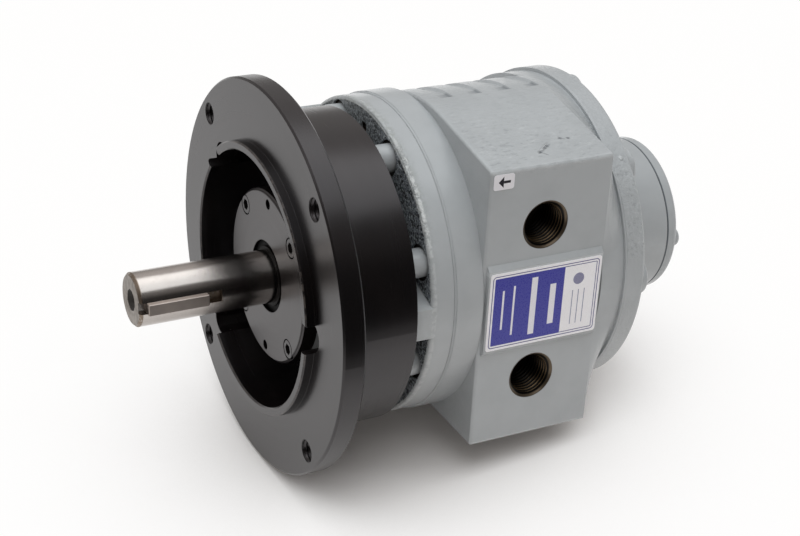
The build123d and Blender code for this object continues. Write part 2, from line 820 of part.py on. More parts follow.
# Shaft: stepped and ground, with a keyway open to its tip, a centre hole and a retaining groove
with BuildPart() as shaft:
    with BuildSketch(Plane.XY):
        with BuildLine():
            Polyline(
                (shaft_tip, 0),
                (shaft_tip, shaft_r - shaft_tip_edge),
                (shaft_tip - shaft_tip_edge, shaft_r),
                (-shaft_shoulder_depth, shaft_r),
                (-shaft_shoulder_depth, front_bearing_in_r),
                (x_front_bearing + ring_t, front_bearing_in_r),
                (x_front_bearing + ring_t, front_bearing_in_r - ring_depth),
                (x_front_bearing, front_bearing_in_r - ring_depth),
                (x_front_bearing, front_bearing_in_r),
                (x_front_bearing_rear, front_bearing_in_r),
                (x_front_bearing_rear, rotor_shaft_r),
                (x_body_rear + end_gap, rotor_shaft_r),
                (x_body_rear + end_gap, rear_shaft_r),
                (x_rear_bearing, rear_shaft_r),
                (x_rear_bearing, rear_bearing_in_r),
                (x_rear_bearing_rear, rear_bearing_in_r),
                (x_rear_bearing_rear, 0),
                close=True,
            )
        make_face()
    revolve(axis=Axis.X)
    with BuildSketch(turned_plane(shaft_tip, key_angle)):
        with Locations((shaft_r, 0)):
            Rectangle(key_w, key_w)
    extrude(amount=-keyway_length, mode=Mode.SUBTRACT)
    with BuildSketch(Plane.XY):
        with BuildLine():
            Polyline(
                (shaft_tip, 0),
                (shaft_tip, centre_mouth_r),
                (shaft_tip - centre_mouth_r + centre_hole_r, centre_hole_r),
                (shaft_tip - centre_hole_depth, centre_hole_r),
                (shaft_tip - centre_hole_depth - centre_hole_r / 2, 0),
                close=True,
            )
        make_face()
    revolve(axis=Axis.X, mode=Mode.SUBTRACT)
shaft.part.label = "shaft"
export_step(shaft.part, "parts/shaft.step")

# Square key in the shaft's keyway
with BuildPart() as shaft_key:
    with BuildSketch(turned_plane(shaft_tip - key_setback, key_angle)):
        with Locations((shaft_r, 0)):
            Rectangle(key_w, key_w)
    extrude(amount=-key_length)
    chamfer(shaft_key.edges(), key_edge)
shaft_key.part.label = "shaft_key"
export_step(shaft_key.part, "parts/shaft_key.step")

# Retaining ring in front of the drive bearing, open on one side as such rings are
with BuildPart() as retaining_ring:
    with BuildSketch(across(x_front_bearing)):
        Circle(front_bearing_in_r + ring_height - ring_depth)
        Circle(front_bearing_in_r - ring_depth, mode=Mode.SUBTRACT)
        with Locations((-front_bearing_in_r, 0)):
            Rectangle(2 * ring_height, ring_opening, mode=Mode.SUBTRACT)
    extrude(amount=ring_t)
retaining_ring.part.label = "retaining_ring"
export_step(retaining_ring.part, "parts/retaining_ring.step")

# Nameplate on the raised pad, with its face left bare
with BuildPart() as nameplate:
    with BuildSketch(Plane.XZ.offset(-pad_face_y)):
        with Locations((x_nameplate_mid, 0)):
            RectangleRounded(nameplate_length, nameplate_height, nameplate_corner)
    extrude(amount=-nameplate_t)
nameplate.part.label = "nameplate"
export_step(nameplate.part, "parts/nameplate.step")

# Small tag in the front upper corner of the port face
with BuildPart() as corner_tag:
    with BuildSketch(Plane.XZ.offset(-port_face_y)):
        with Locations((x_ring_rear - tag_margin_x - tag_length / 2, tag_z)):
            RectangleRounded(tag_length, tag_height, tag_corner)
    extrude(amount=-tag_t)
corner_tag.part.label = "corner_tag"
export_step(corner_tag.part, "parts/corner_tag.step")
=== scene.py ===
import json
import math

import bmesh
import bpy
from mathutils import Matrix, Vector


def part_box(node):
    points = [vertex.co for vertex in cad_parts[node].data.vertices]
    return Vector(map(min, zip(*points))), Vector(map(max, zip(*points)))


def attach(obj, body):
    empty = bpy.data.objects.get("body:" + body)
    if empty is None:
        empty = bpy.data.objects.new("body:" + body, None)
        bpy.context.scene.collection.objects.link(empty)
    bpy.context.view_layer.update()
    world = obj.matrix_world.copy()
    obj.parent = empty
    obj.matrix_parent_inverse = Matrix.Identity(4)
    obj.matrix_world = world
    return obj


# Looks of the air vane motor: metres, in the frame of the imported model. The shaft points along +X,
# the port face looks along +Y, and the casing's own axis lies at y = CASING_Y.

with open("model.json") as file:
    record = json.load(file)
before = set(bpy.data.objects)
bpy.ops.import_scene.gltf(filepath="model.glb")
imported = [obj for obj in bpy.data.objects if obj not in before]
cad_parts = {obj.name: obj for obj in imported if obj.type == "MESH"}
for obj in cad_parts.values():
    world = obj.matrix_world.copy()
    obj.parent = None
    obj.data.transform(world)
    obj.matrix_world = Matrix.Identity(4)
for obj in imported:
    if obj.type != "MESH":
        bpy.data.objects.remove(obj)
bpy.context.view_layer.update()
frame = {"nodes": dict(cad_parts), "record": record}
nodes = frame["nodes"]

MM = 0.001

# Where the axes of the casing and of its shoulder lie along Y
CASING_Y = -0.005
SHOULDER_Y = 0.005

# Places along X: front of the drive end plate, ends of the body, rear of the body's front ring, rear of
# the dead end plate's rim, seam of the rear cap, and just behind the end face of the shaft
PLATE_FRONT = -0.0479
BODY_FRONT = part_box("body")[1].x
BODY_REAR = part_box("body")[0].x
RING_REAR = -0.0706
RIM_REAR = BODY_REAR - 0.0101
CAP_SEAM = RIM_REAR - 0.0333
SHAFT_FACE = 0.05385

# Threaded holes
PORT_FACE = 0.0615
PORTS = [Vector(m["pos_m"]) for m in frame["record"]["mounts"] if m["kind"] == "threaded_hole"]
PORT_R = 0.00913
PORT_MOUTH_R = 0.0105
PORT_PITCH = 0.001814
BOLT_CIRCLE_R = 0.0746125
BOLT_R = 0.0047625
BOLT_PITCH = 0.0015875

# Grooves of the shoulder: rear side of the first one, and the distance to the next
GROOVES = 4
GROOVE_REAR = -0.0844
GROOVE_PITCH = 0.0138


def screen(red, green, blue):
    """A colour given as 0 to 255 on screen, as the linear colour a shader takes."""
    def linear(v):
        v = v / 255
        return v / 12.92 if v <= 0.04045 else ((v + 0.055) / 1.055) ** 2.4
    return (linear(red), linear(green), linear(blue), 1.0)


class Finish:
    """One node material. Its methods add nodes and give back the sockets that hold their results."""

    inputs = {
        "colour": "Base Color", "rough": "Roughness", "metal": "Metallic", "normal": "Normal",
        "gloss": "Specular IOR Level", "tint": "Specular Tint", "drawn": "Anisotropic",
        "drawn_turn": "Anisotropic Rotation", "tangent": "Tangent",
    }

    def __init__(self, name):
        self.material = bpy.data.materials.new(name)
        self.material.use_nodes = True
        self.tree = self.material.node_tree
        self.tree.nodes.clear()
        self.out = self.node("ShaderNodeOutputMaterial")
        self.shader = self.node("ShaderNodeBsdfPrincipled")
        self.tree.links.new(self.shader.outputs["BSDF"], self.out.inputs["Surface"])
        self.place = self.node("ShaderNodeTexCoord").outputs["Object"]
        split = self.node("ShaderNodeSeparateXYZ")
        self.tree.links.new(self.place, split.inputs[0])
        self.x, self.y, self.z = split.outputs

    def node(self, kind, **settings):
        made = self.tree.nodes.new(kind)
        for key, value in settings.items():
            setattr(made, key, value)
        return made

    def feed(self, value, socket):
        if isinstance(value, bpy.types.NodeSocket):
            self.tree.links.new(value, socket)
        elif value is not None:
            socket.default_value = value

    def math(self, operation, a, b=None, clamp=False):
        made = self.node("ShaderNodeMath", operation=operation, use_clamp=clamp)
        self.feed(a, made.inputs[0])
        self.feed(b, made.inputs[1])
        return made.outputs[0]

    def chain(self, operation, values):
        total = values[0]
        for value in values[1:]:
            total = self.math(operation, total, value)
        return total

    def add(self, *values):
        return self.chain("ADD", values)

    def times(self, *values):
        return self.chain("MULTIPLY", values)

    def most(self, *values):
        return self.chain("MAXIMUM", values)

    def least(self, *values):
        return self.chain("MINIMUM", values)

    def less(self, a, b):
        return self.math("SUBTRACT", a, b)

    def without(self, a):
        return self.math("SUBTRACT", 1.0, a, clamp=True)

    def length(self, *gaps):
        """Length of a line from its shares along axes at right angles."""
        return self.math("SQRT", self.add(*[self.times(gap, gap) for gap in gaps]))

    def step(self, value, low, high, start=0.0, end=1.0):
        """Smooth passage from start to end while value goes from low to high."""
        made = self.node("ShaderNodeMapRange", interpolation_type="SMOOTHSTEP")
        self.feed(value, made.inputs["Value"])
        for key, number in zip(("From Min", "From Max", "To Min", "To Max"), (low, high, start, end)):
            made.inputs[key].default_value = number
        return made.outputs["Result"]

    def fall(self, value, low, high):
        """Smooth passage from 1 to 0 while value goes from low to high."""
        return self.step(value, low, high, 1.0, 0.0)

    def within(self, value, low, high, soft=0.05 * MM):
        """1 between low and high, 0 outside."""
        past_low = self.step(value, low - soft, low + soft)
        return self.times(past_low, self.fall(value, high - soft, high + soft))

    def mix(self, share, a, b):
        """Colour a where share is 0, and colour b where it is 1."""
        made = self.node("ShaderNodeMix", data_type="RGBA")
        self.feed(share, made.inputs[0])
        self.feed(a, made.inputs[6])
        self.feed(b, made.inputs[7])
        return made.outputs[2]

    def blend(self, share, a, b):
        """Number a where share is 0, and number b where it is 1."""
        made = self.node("ShaderNodeMix", data_type="FLOAT")
        self.feed(share, made.inputs[0])
        self.feed(a, made.inputs[2])
        self.feed(b, made.inputs[3])
        return made.outputs[0]

    def noise(self, size, detail=2.0, rough=0.5, place=None):
        """Noise whose grains are about size metres across."""
        made = self.node("ShaderNodeTexNoise")
        self.feed(place if place is not None else self.place, made.inputs["Vector"])
        made.inputs["Scale"].default_value = 1 / size
        made.inputs["Detail"].default_value = detail
        made.inputs["Roughness"].default_value = rough
        return made.outputs["Fac"]

    def stretched(self, share_x, share_y, share_z):
        """Place with each coordinate scaled, so that grains become longer where the share is small."""
        made = self.node("ShaderNodeCombineXYZ")
        for value, share, socket in zip((self.x, self.y, self.z), (share_x, share_y, share_z), made.inputs):
            self.feed(self.times(value, share), socket)
        return made.outputs[0]

    def turn(self, centre_y=0.0):
        """Angle in radians round a line along X through y = centre_y, 0 toward +Y and rising toward +Z."""
        return self.math("ARCTAN2", self.z, self.less(self.y, centre_y))

    def angle(self, centre_y=0.0):
        """The same angle in degrees."""
        return self.times(self.turn(centre_y), math.degrees(1))

    def radius(self, centre_y=0.0):
        """Distance from a line along X through y = centre_y."""
        return self.length(self.less(self.y, centre_y), self.z)

    def distance(self, a, a0, b, b0):
        """Distance in the plane of the coordinates a and b from the point (a0, b0)."""
        return self.length(self.less(a, a0), self.less(b, b0))

    def from_port(self, port):
        """Distance from the middle line of a port."""
        return self.distance(self.x, port.x, self.z, port.z)

    def near(self, x, y, z, reach):
        """1 at a point given in millimetres, 0 farther away than reach."""
        gaps = [self.less(value, centre * MM) for value, centre in ((self.x, x), (self.y, y), (self.z, z))]
        return self.fall(self.length(*gaps), 0.45 * reach * MM, reach * MM)

    def scratch(self, start, end, reach):
        """1 on a line between two points given in millimetres, 0 farther away than reach."""
        first, last = Vector(start) * MM, Vector(end) * MM
        along = (last - first).normalized()
        gaps = [self.less(value, origin) for value, origin in zip((self.x, self.y, self.z), first)]
        run = self.add(*[self.times(gap, share) for gap, share in zip(gaps, along)])
        squares = self.add(*[self.times(gap, gap) for gap in gaps])
        aside = self.math("SQRT", self.most(self.less(squares, self.times(run, run)), 0.0))
        inside = self.within(run, 0.0, (last - first).length, 0.3 * MM)
        return self.times(self.fall(aside, 0.3 * reach * MM, reach * MM), inside)

    def crest(self, port):
        """1 on the crests of the threads in a port, 0 in their grooves."""
        return self.fall(self.from_port(port), PORT_R - 0.78 * MM, PORT_R - 0.35 * MM)

    def inner(self, port):
        """1 inside the plain bore of a port, 0 on the bevel of its mouth."""
        return self.fall(self.from_port(port), PORT_R + 0.1 * MM, PORT_R + 0.5 * MM)

    def turned(self, fine, along):
        """Place stretched round the shaft's axis, for marks that a lathe leaves."""
        made = self.node("ShaderNodeCombineXYZ")
        self.feed(self.times(self.x, 1 / fine), made.inputs[0])
        self.feed(self.times(self.radius(), 1 / fine), made.inputs[1])
        self.feed(self.times(self.turn(), 1 / along), made.inputs[2])
        return made.outputs[0]

    def bump(self, height, distance, normal=None):
        made = self.node("ShaderNodeBump")
        made.inputs["Strength"].default_value = 1.0
        made.inputs["Distance"].default_value = distance
        self.feed(height, made.inputs["Height"])
        self.feed(normal, made.inputs["Normal"])
        return made.outputs["Normal"]

    def soft_edges(self, radius):
        """Normal that rounds sharp edges over a small radius."""
        made = self.node("ShaderNodeBevel", samples=4)
        made.inputs["Radius"].default_value = radius
        return made.outputs["Normal"]

    def set(self, **values):
        for key, value in values.items():
            self.feed(value, self.shader.inputs[self.inputs[key]])
        return self.material


# Colours of the painted castings: enamel in two shades, lighter and darker marks, the lighter also a
# painted highlight on edges and the darker also painted shade in grooves, specks, raw casting in a recess
# with its upper part painted lighter as lit, an edge light from wear and from painted highlight and the
# zone round it, and iron with no paint, which in the spotfaces also stands for painted shade
PAINT = screen(182, 186, 188)
PAINT_LOW = screen(176, 180, 182)
PALE = screen(214, 218, 219)
SHADE = screen(104, 109, 114)
SPECK = screen(140, 144, 146)
RAW_DARK = screen(14, 15, 18)
RAW_MIDDLE = screen(122, 128, 134)
RAW_LIGHT = screen(200, 206, 210)
RAW_LIT_TOP = screen(150, 154, 154)
WORN_AND_LIT_EDGE = screen(222, 225, 224)
WORN_AROUND = screen(152, 156, 152)
BARE_IRON = screen(46, 36, 28)


def painted(
    name, cast=None, rough_area=None, bare=None, edge_wear_and_highlight=None, flecked=None, shade=None, lit_edge=None,
    marks=(), scratches=(), streak=1.0,
):
    """Blue-grey enamel. cast is how much of the casting's grain shows through, rough_area where the
    raw casting shows black grains, with its upper part painted lighter as lit, bare where there is no
    paint, which in the spotfaces is also painted shade, the edge mask where an edge is light from wear and
    from painted highlight, flecked where the hammered grain shows light and dark, with streak below 1 drawn
    out along X, shade where the colour is darker, from dirt in a seam and from painted shade in grooves,
    and the lit edge mask where edges get a painted highlight. Each mark is x, y, z, reach and whether it is
    light, and each scratch is its start, end, reach and whether it is light."""
    f = Finish(name)
    broad = f.noise(22 * MM, 3, 0.6)
    colour = f.mix(f.step(broad, 0.35, 0.7), PAINT, PAINT_LOW)
    specks = f.step(f.noise(0.8 * MM, 2, 0.6), 0.7, 0.78)
    colour = f.mix(f.times(specks, 0.12), colour, SPECK)
    height = f.times(f.noise(1.7 * MM, 2, 0.5), 0.035 * MM)
    if cast:
        height = f.add(height, f.times(f.noise(2.6 * MM, 4, 0.6), cast(f), 0.5 * MM))
    rough = f.blend(broad, 0.18, 0.28)
    if flecked:
        hammered = flecked(f)
        streaks = f.noise(1.5 * MM, 3, 0.6, f.stretched(streak, 1.0, 1.0))
        colour = f.mix(f.times(f.step(streaks, 0.56, 0.68), f.times(hammered, 0.26)), colour, PALE)
        colour = f.mix(f.times(f.fall(streaks, 0.34, 0.44), f.times(hammered, 0.25)), colour, SHADE)
        height = f.add(height, f.times(streaks, hammered, 0.42 * MM))
    # Darker by the shade mask: dirt in the rear cap's seam, and painted shade on the steep sides of grooves
    if shade:
        colour = f.mix(shade(f), colour, SHADE)
    if rough_area:
        raw = rough_area(f)
        lumps = f.noise(1.7 * MM, 3, 0.65)
        fine = f.noise(1.0 * MM, 2, 0.6)
        raw_colour = f.mix(f.step(lumps, 0.42, 0.56), RAW_DARK, RAW_MIDDLE)
        raw_colour = f.mix(f.times(f.step(fine, 0.53, 0.61), 0.8), raw_colour, RAW_LIGHT)
        # Painted light: the raw casting is lighter toward its upper part, as where more light falls
        raw_colour = f.mix(f.step(f.angle(), 62, 100, 0.0, 0.35), raw_colour, RAW_LIT_TOP)
        colour = f.mix(raw, colour, raw_colour)
        height = f.add(height, f.times(lumps, raw, 0.7 * MM))
        rough = f.blend(raw, rough, 0.5)
    # A light edge, partly wear and partly a painted highlight where the edge catches light
    if edge_wear_and_highlight:
        edge, around = edge_wear_and_highlight(f)
        colour = f.mix(around, colour, WORN_AROUND)
        colour = f.mix(f.times(edge, 0.8), colour, WORN_AND_LIT_EDGE)
        height = f.add(height, f.times(f.noise(0.8 * MM, 3, 0.6), edge, 0.5 * MM))
    for x, y, z, reach, light in marks:
        mark = f.near(x, y, z, reach)
        colour = f.mix(f.times(mark, 0.6), colour, PALE if light else SHADE)
        height = f.add(height, f.times(mark, (0.4 if light else -0.25) * MM))
    for start, end, reach, light in scratches:
        mark = f.times(f.scratch(start, end, reach), f.step(f.noise(1.1 * MM, 2, 0.5), 0.36, 0.5))
        colour = f.mix(f.times(mark, 0.4), colour, PALE if light else SHADE)
        height = f.add(height, f.times(mark, (0.3 if light else -0.2) * MM))
    # Painted highlight on edges that catch the light
    if lit_edge:
        colour = f.mix(lit_edge(f), colour, PALE)
    # Bare iron, whose dark colour in the spotfaces is also painted shade
    if bare:
        open_metal = bare(f)
        colour = f.mix(open_metal, colour, BARE_IRON)
        rough = f.blend(open_metal, rough, 0.5)
    return f.set(colour=colour, rough=rough, normal=f.bump(height, 1.0, f.soft_edges(0.25 * MM)))


# Masks on the body. Edges of the port block and of its pad, as the two sides of each along Z
BLOCK_FOOT = (-0.0627, -0.0612)
BLOCK_TOP = (0.0592, 0.0608)
PAD_BEVEL = (0.0164, 0.0181)
# Where the block's cast top begins along Z, and where it leaves the shoulder along Y
CAST_TOP = (0.0560, 0.0600)
CAST_TOP_Y = (0.010, 0.045)
# Grooves: below the shoulder's radius, above a height, and from side to side along Y
SHOULDER_R = (0.0696, 0.0704)
GROOVE_Z = (0.056, 0.058)
GROOVE_Y = (-0.001, 0.042)


def body_cast(f):
    """The casting's grain, nearly gone on the machined face and low on the rings."""
    face = f.step(f.y, PORT_FACE - 0.8 * MM, PORT_FACE - 0.2 * MM)
    front_ring = f.within(f.x, RING_REAR, BODY_FRONT + MM)
    rear_ring = f.within(f.x, BODY_REAR - MM, BODY_REAR + 6 * MM, MM)
    smooth = f.most(face, f.times(f.most(front_ring, rear_ring), 0.8))
    return f.add(f.times(f.without(smooth), 0.5), 0.05)


def body_flecked(f):
    """The as-cast top of the port block, and a little of it on the shoulder."""
    top = f.times(f.step(f.z, *CAST_TOP), f.step(f.y, *CAST_TOP_Y, 0.35, 1.0))
    behind_ring = f.fall(f.x, RING_REAR - 2.4 * MM, RING_REAR - MM)
    patches = f.step(f.noise(17 * MM, 2, 0.5), 0.38, 0.6, 0.5, 1.0)
    return f.times(top, behind_ring, patches)


def body_edge_highlight(f):
    """Painted highlight on edges of the port block, in patches, and on the bevel of its pad."""
    face_edge = f.step(f.y, PORT_FACE - 2.0 * MM, PORT_FACE - 0.9 * MM)
    foot = f.within(f.z, *BLOCK_FOOT, 0.3 * MM)
    top = f.within(f.z, *BLOCK_TOP, 0.3 * MM)
    patches = f.step(f.noise(5 * MM, 3, 0.6), 0.35, 0.6, 0.15, 0.55)
    in_front = f.step(f.y, PORT_FACE + 0.1 * MM, PORT_FACE + 0.2 * MM)
    pad_bevel = f.times(f.within(f.z, *PAD_BEVEL, 0.1 * MM), in_front)
    block_edges = f.times(face_edge, f.most(foot, f.times(top, 0.6)))
    return f.most(f.times(block_edges, patches), f.times(pad_bevel, 0.45))


def groove_shade(f):
    """Painted shade on the steep side of each of the four grooves in the shoulder."""
    cut = f.times(f.fall(f.radius(SHOULDER_Y), *SHOULDER_R), f.within(f.y, *GROOVE_Y, MM))
    stripes = 0.0
    for i in range(GROOVES):
        rear = GROOVE_REAR - i * GROOVE_PITCH
        width = f.within(f.x, rear - 1.2 * MM, rear + 7.4 * MM, 0.1 * MM)
        stripes = f.most(stripes, f.times(width, f.step(f.x, rear, rear + 4.5 * MM, 0.6, 0.22)))
    return f.times(cut, stripes, f.step(f.z, *GROOVE_Z))


def body_bare(f):
    """The walls of the two ports, which have no paint."""
    holes = 0.0
    for port in PORTS:
        holes = f.most(holes, f.fall(f.from_port(port), PORT_MOUTH_R - 0.15 * MM, PORT_MOUTH_R))
    below_face = f.fall(f.y, PORT_FACE - 0.12 * MM, PORT_FACE - 0.04 * MM)
    port_side = f.step(f.y, 0.02, 0.021)
    return f.times(holes, below_face, port_side)


# Masks on the drive end plate. Radii round the casing's axis: the outside of the recess, the worn edge,
# the spotfaces and the rim's side. Round the shaft's axis: the hub
RECESS_R = (0.0660, 0.0666)
EDGE_R = (0.0655, 0.0663)
SPOTFACE_R = (0.0668, 0.0672)
RIM_SIDE_R = (0.0669, 0.0672)
HUB_R = (0.0462, 0.0465)
HUB_FRONT = -0.0400
BEHIND_PLATE = -0.0600
# Webs from the hub to the rim: angles, distances of their ends from the shaft, half widths there
WEB_ANGLES = (0, 135, 225)
WEB_ENDS = (0.040, 0.075)
WEB_HALF_WIDTHS = (0.0144, 0.0029)


def recess(f):
    """The step between the drive end plate's hub and its rim, without the webs that cross it."""
    depth = f.within(f.x, PLATE_FRONT - 0.3 * MM, HUB_FRONT, 0.25 * MM)
    area = f.times(f.fall(f.radius(CASING_Y), *RECESS_R), depth, f.step(f.radius(), *HUB_R))
    for degrees in WEB_ANGLES:
        a = math.radians(degrees)
        along = f.add(f.times(f.y, math.cos(a)), f.times(f.z, math.sin(a)))
        side = f.math("ABSOLUTE", f.add(f.times(f.y, -math.sin(a)), f.times(f.z, math.cos(a))))
        half_width = f.step(along, *WEB_ENDS, *WEB_HALF_WIDTHS)
        half_width.node.interpolation_type = "LINEAR"
        beside = f.fall(f.less(side, half_width), 0.0, 0.2 * MM)
        on_web = f.times(beside, f.step(along, WEB_ENDS[0], WEB_ENDS[0] + MM))
        area = f.times(area, f.without(on_web))
    return area


def plate_bare(f):
    """The spotfaces and all else behind the plate's front and inside its rim, which have no paint; their
    dark colour is also painted shade in the spotfaces.
    """
    behind_front = f.within(f.x, BEHIND_PLATE, PLATE_FRONT - 0.8 * MM, 0.1 * MM)
    return f.times(behind_front, f.fall(f.radius(CASING_Y), *SPOTFACE_R))


def plate_edge(f):
    """The front edge of the drive end plate, light in patches from wear and from painted highlight, and the
    blotches behind it.
    """
    wander = f.times(f.noise(3 * MM, 3, 0.6), 1.6 * MM)
    line = f.within(f.add(f.x, wander), PLATE_FRONT - 1.2 * MM, PLATE_FRONT + 0.9 * MM, 0.4 * MM)
    on_rim = f.step(f.radius(CASING_Y), *EDGE_R)
    turn = f.angle(CASING_Y)
    sector = f.times(f.step(turn, 18, 36, 0.3, 1.0), f.step(turn, 60, 72, 1.0, 0.2))
    worn = f.times(line, on_rim, sector, f.step(f.noise(2.6 * MM, 4, 0.65), 0.4, 0.54))
    band = f.times(f.step(f.x, PLATE_FRONT - 5 * MM, PLATE_FRONT - MM), on_rim)
    blotches = f.step(f.noise(2.4 * MM, 4, 0.65), 0.4, 0.6, 0.1, 0.6)
    return worn, f.times(band, blotches, f.step(turn, 20, 50, 0.25, 1.0))


def plate_flecked(f):
    """Rougher paint behind the worn edge."""
    near_edge = f.step(f.x, PLATE_FRONT - 6 * MM, PLATE_FRONT - 1.5 * MM)
    outside = f.step(f.radius(CASING_Y), *RIM_SIDE_R)
    turn = f.angle(CASING_Y)
    sector = f.times(f.step(turn, 20, 45), f.step(turn, 60, 100, 1.0, 0.5))
    return f.times(near_edge, outside, f.times(sector, 0.7))


# Masks on the dead end plate and the rear cap: where the bearing boss rises out of the plate along X, and
# the radius of the rim's side
BOSS_START = (-0.1515, -0.1505)
REAR_SIDE_R = (0.0672, 0.0684)


def rear_cast(f):
    """The casting's grain, nearly gone on the boss and beside the body's seam."""
    boss = f.fall(f.x, *BOSS_START)
    seam = f.step(f.x, BODY_REAR - 1.2 * MM, BODY_REAR - 0.6 * MM)
    patches = f.step(f.noise(24 * MM, 2, 0.5), 0.4, 0.6, 0.35, 1.0)
    return f.add(f.times(f.without(f.most(seam, boss)), patches, 0.9), 0.06)


def rear_flecked(f):
    """The hammered zone of the dead end plate's rim."""
    turn = f.angle(CASING_Y)
    sector = f.times(f.step(turn, 8, 15), f.step(turn, 40, 48, 1.0, 0.3))
    return f.times(f.within(f.x, RIM_REAR - MM, BODY_REAR - 0.8 * MM, 0.6 * MM), sector)


def rear_edge(f):
    """Painted highlight on the uneven rear edge of that rim, with nothing round it."""
    wander = f.times(f.noise(4 * MM, 3, 0.6), 2.4 * MM)
    line = f.within(f.add(f.x, wander), RIM_REAR + 0.7 * MM, RIM_REAR + 1.7 * MM, 0.25 * MM)
    outside = f.step(f.radius(CASING_Y), *REAR_SIDE_R)
    turn = f.angle(CASING_Y)
    sector = f.times(f.step(turn, 5, 9), f.fall(turn, 38, 42))
    return f.times(line, outside, f.times(sector, 0.6)), 0.0


def cap_seam(f):
    """Dirt in the seam between the dead end plate and the rear cap."""
    return f.times(f.within(f.x, CAP_SEAM - 0.42 * MM, CAP_SEAM + 0.36 * MM, 0.06 * MM), 0.92)


# Black oxide on the adaptor, the seal cap and their screws
NICK = screen(120, 112, 104)
RUBBED = screen(112, 104, 98)
# Near black for painted shade in the seal cap's eye and holes
SHADE_BLACK = screen(6, 5, 5)
WARM_TINT = (1.0, 0.945, 0.96, 1.0)
# The pilot's front along X, and the radii of its outer and inner edge
PILOT_FRONT = (0.0033, 0.0037)
PILOT_OUTER_R = (0.0564, 0.0573)
PILOT_INNER_R = (0.0532, 0.0539)
# The seal cap just behind its front, and just inside its rim
CAP_FRONT = (-0.0048, -0.0044)
CAP_INSIDE_R = (0.0358, 0.0362)


def blackened(name, turned=True, base=(12, 10, 11), gloss=0.68, rough=0.26, worn=None, hole_shade=None):
    """Dark oxide, with a lathe's marks if turned. worn is where it is rubbed, and the shade mask where
    painted shade makes it near black.
    """
    f = Finish(name)
    broad = f.noise(30 * MM, 3, 0.55)
    colour = f.mix(f.step(broad, 0.35, 0.7), screen(*base), screen(base[0] + 6, base[1] + 4, base[2] + 3))
    if turned:
        marks = f.noise(1.0, 3, 0.6, f.turned(0.3 * MM, 0.5))
        bands = f.noise(1.0, 2, 0.5, f.turned(2.4 * MM, 1.6))
    else:
        marks = f.noise(0.3 * MM, 2, 0.5)
        bands = broad
    nicks = f.step(f.noise(1.3 * MM, 3, 0.7), 0.755, 0.775)
    colour = f.mix(f.times(nicks, 0.5), colour, NICK)
    if worn:
        colour = f.mix(f.times(worn(f), f.step(f.noise(4 * MM, 3, 0.6), 0.42, 0.58)), colour, RUBBED)
    level = f.add(f.times(bands, 0.06), f.times(marks, 0.03))
    # Painted shade: near black, with little gloss
    if hole_shade:
        shaded = hole_shade(f)
        colour = f.mix(shaded, colour, SHADE_BLACK)
        level = f.add(level, f.times(shaded, 0.4))
        gloss = f.blend(shaded, gloss, 0.1)
    return f.set(
        colour=colour,
        rough=f.add(level, rough - 0.045),
        gloss=gloss,
        tint=WARM_TINT,
        normal=f.bump(marks, 0.0006 * MM, f.soft_edges(0.25 * MM)),
    )


def pilot_wear(f):
    """The rubbed edge of the pilot."""
    edges = f.most(f.within(f.radius(), *PILOT_OUTER_R), f.within(f.radius(), *PILOT_INNER_R))
    return f.times(f.step(f.x, *PILOT_FRONT), edges, 0.35)


def cap_pockets(f):
    """Painted shade on the walls of the seal cap's eye and of its holes."""
    return f.times(f.fall(f.radius(), *CAP_INSIDE_R), f.fall(f.x, *CAP_FRONT))


# Bright steel
STEEL_LOW, STEEL_HIGH = screen(178, 170, 165), screen(204, 198, 193)
STEEL_SPOT = screen(120, 104, 90)
STAIN = screen(104, 82, 56)
FACED_LIGHT, FACED_DARK = screen(142, 134, 126), screen(112, 104, 96)
# Near black for painted shade on the steel
STEEL_SHADE = screen(16, 14, 13)
# The shaft's shoulder and centre hole along X, and a radius a little outside that hole
SHAFT_SHOULDER = (-0.0200, -0.0049)
CENTRE_HOLE_START = 0.0300
CENTRE_HOLE_R = (0.0060, 0.0064)
# Its tip: the radius of the face, and where the bevel begins along X and in radius
TIP_FACE_R = (0.0106, 0.0109)
TIP_BEVEL_X = (0.0524, 0.0528)
TIP_BEVEL_R = (0.0092, 0.0098)
# The inner end of its keyway: along X, above the floor along Y, and across along Z
KEYWAY_END = (0.0195, 0.0250)
KEYWAY_FLOOR = (0.0080, 0.0084)
KEYWAY_SIDES = (-0.0018, 0.0033)


